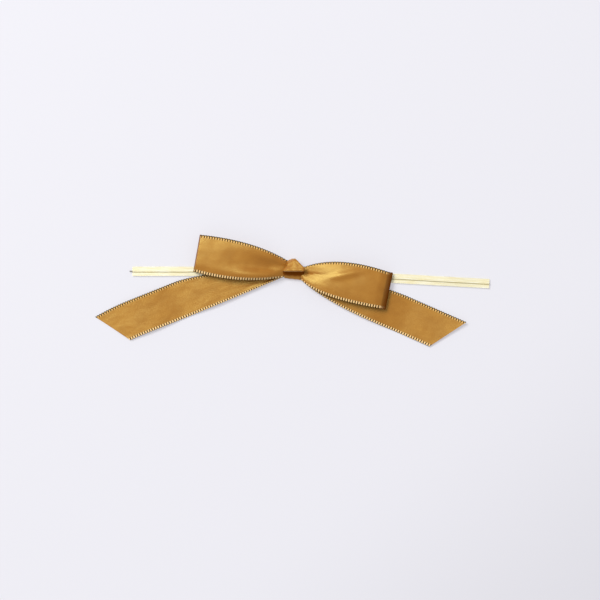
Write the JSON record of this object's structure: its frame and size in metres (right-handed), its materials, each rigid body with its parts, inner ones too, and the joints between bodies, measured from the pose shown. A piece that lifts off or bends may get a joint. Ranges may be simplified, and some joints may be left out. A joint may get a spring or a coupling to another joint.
{
  "type": "gift bow",
  "caption": "Pre-tied bow of gold satin ribbon with a knot, two loops and two slant-cut tails, held on a wire-cored metallic twist tie.",
  "frame": {"origin": "on the back of the knot, in the plane that the bow lies on, under the middle of the knot", "axes": "+X along the twist tie towards the right loop and the longer tie leg, +Y towards the side that the left loop rises to, away from the tails, +Z out of the front of the bow"},
  "size_m": [0.1709, 0.048, 0.0067],
  "materials": {
    "satin_ribbon": "gold-brown polyester satin with a picot selvedge",
    "tie_film": "pale gold metallised film",
    "tie_wire": "bare annealed steel wire"
  },
  "bodies": {
    "bow": {"knot_band": "satin_ribbon", "knot_core": "satin_ribbon"},
    "loop_left": {"loop_left": "satin_ribbon"},
    "loop_right": {"loop_right": "satin_ribbon"},
    "tail_left": {"tail_left": "satin_ribbon"},
    "tail_left_end": {"tail_left_end": "satin_ribbon"},
    "tail_right": {"tail_right": "satin_ribbon"},
    "tail_right_end": {"tail_right_end": "satin_ribbon"},
    "tie_centre": {"tie_wire_centre": "tie_wire", "tie_front_film_centre": "tie_film", "tie_back_film_centre": "tie_film"},
    "tie_left": {"tie_wire_left": "tie_wire", "tie_front_film_left": "tie_film", "tie_back_film_left": "tie_film"},
    "tie_left_tip": {"tie_wire_left_tip": "tie_wire", "tie_front_film_left_tip": "tie_film", "tie_back_film_left_tip": "tie_film"},
    "tie_right": {"tie_wire_right": "tie_wire", "tie_front_film_right": "tie_film", "tie_back_film_right": "tie_film"},
    "tie_right_tip": {"tie_wire_right_tip": "tie_wire", "tie_front_film_right_tip": "tie_film", "tie_back_film_right_tip": "tie_film"}
  },
  "joints": [
    {"name": "tie_slide", "type": "slide", "parent": "bow", "child": "tie_centre", "axis": [0.9984, -0.0558, 0], "range_m": [-0.0035, 0.0035]},
    {"name": "tie_left_bend", "type": "hinge", "parent": "tie_centre", "child": "tie_left", "pos_m": [-0.011, -0.00098, 0.0008], "axis": [0, -1, 0], "range_deg": [0, 90]},
    {"name": "tie_left_cross", "type": "hinge", "parent": "tie_left", "child": "tie_left_tip", "pos_m": [-0.029, -0.00098, 0.0008], "axis": [-0.2588, -0.9659, 0], "range_deg": [0, 90]},
    {"name": "tie_right_bend", "type": "hinge", "parent": "tie_centre", "child": "tie_right", "pos_m": [0.01098, -0.00221, 0.0008], "axis": [0.0558, 0.9984, 0], "range_deg": [0, 90]},
    {"name": "tie_right_cross", "type": "hinge", "parent": "tie_right", "child": "tie_right_tip", "pos_m": [0.02896, -0.00322, 0.0008], "axis": [0.3123, 0.95, 0], "range_deg": [0, 90]},
    {"name": "loop_left_lift", "type": "hinge", "parent": "bow", "child": "loop_left", "pos_m": [-0.00492, 0.00089, 0.0056], "axis": [0.1771, 0.9842, 0], "range_deg": [0, 55]},
    {"name": "loop_right_lift", "type": "hinge", "parent": "bow", "child": "loop_right", "pos_m": [0.0049, -0.00101, 0.0056], "axis": [-0.2011, -0.9796, 0], "range_deg": [0, 55]},
    {"name": "tail_left_swing", "type": "hinge", "parent": "bow", "child": "tail_left", "pos_m": [-0.0051, -0.004, 0.0016], "axis": [0, 0, 1], "range_deg": [0, 55]},
    {"name": "tail_left_curl", "type": "hinge", "parent": "tail_left", "child": "tail_left_end", "pos_m": [-0.04858, -0.01318, 0.0002], "axis": [-0.3714, 0.9285, 0], "range_deg": [0, 75]},
    {"name": "tail_right_swing", "type": "hinge", "parent": "bow", "child": "tail_right", "pos_m": [0.0052, -0.0052, 0.0016], "axis": [0, 0, -1], "range_deg": [0, 55]},
    {"name": "tail_right_curl", "type": "hinge", "parent": "tail_right", "child": "tail_right_end", "pos_m": [0.04616, -0.01923, 0.0002], "axis": [-0.4019, -0.9157, 0], "range_deg": [0, 75]}
  ]
}
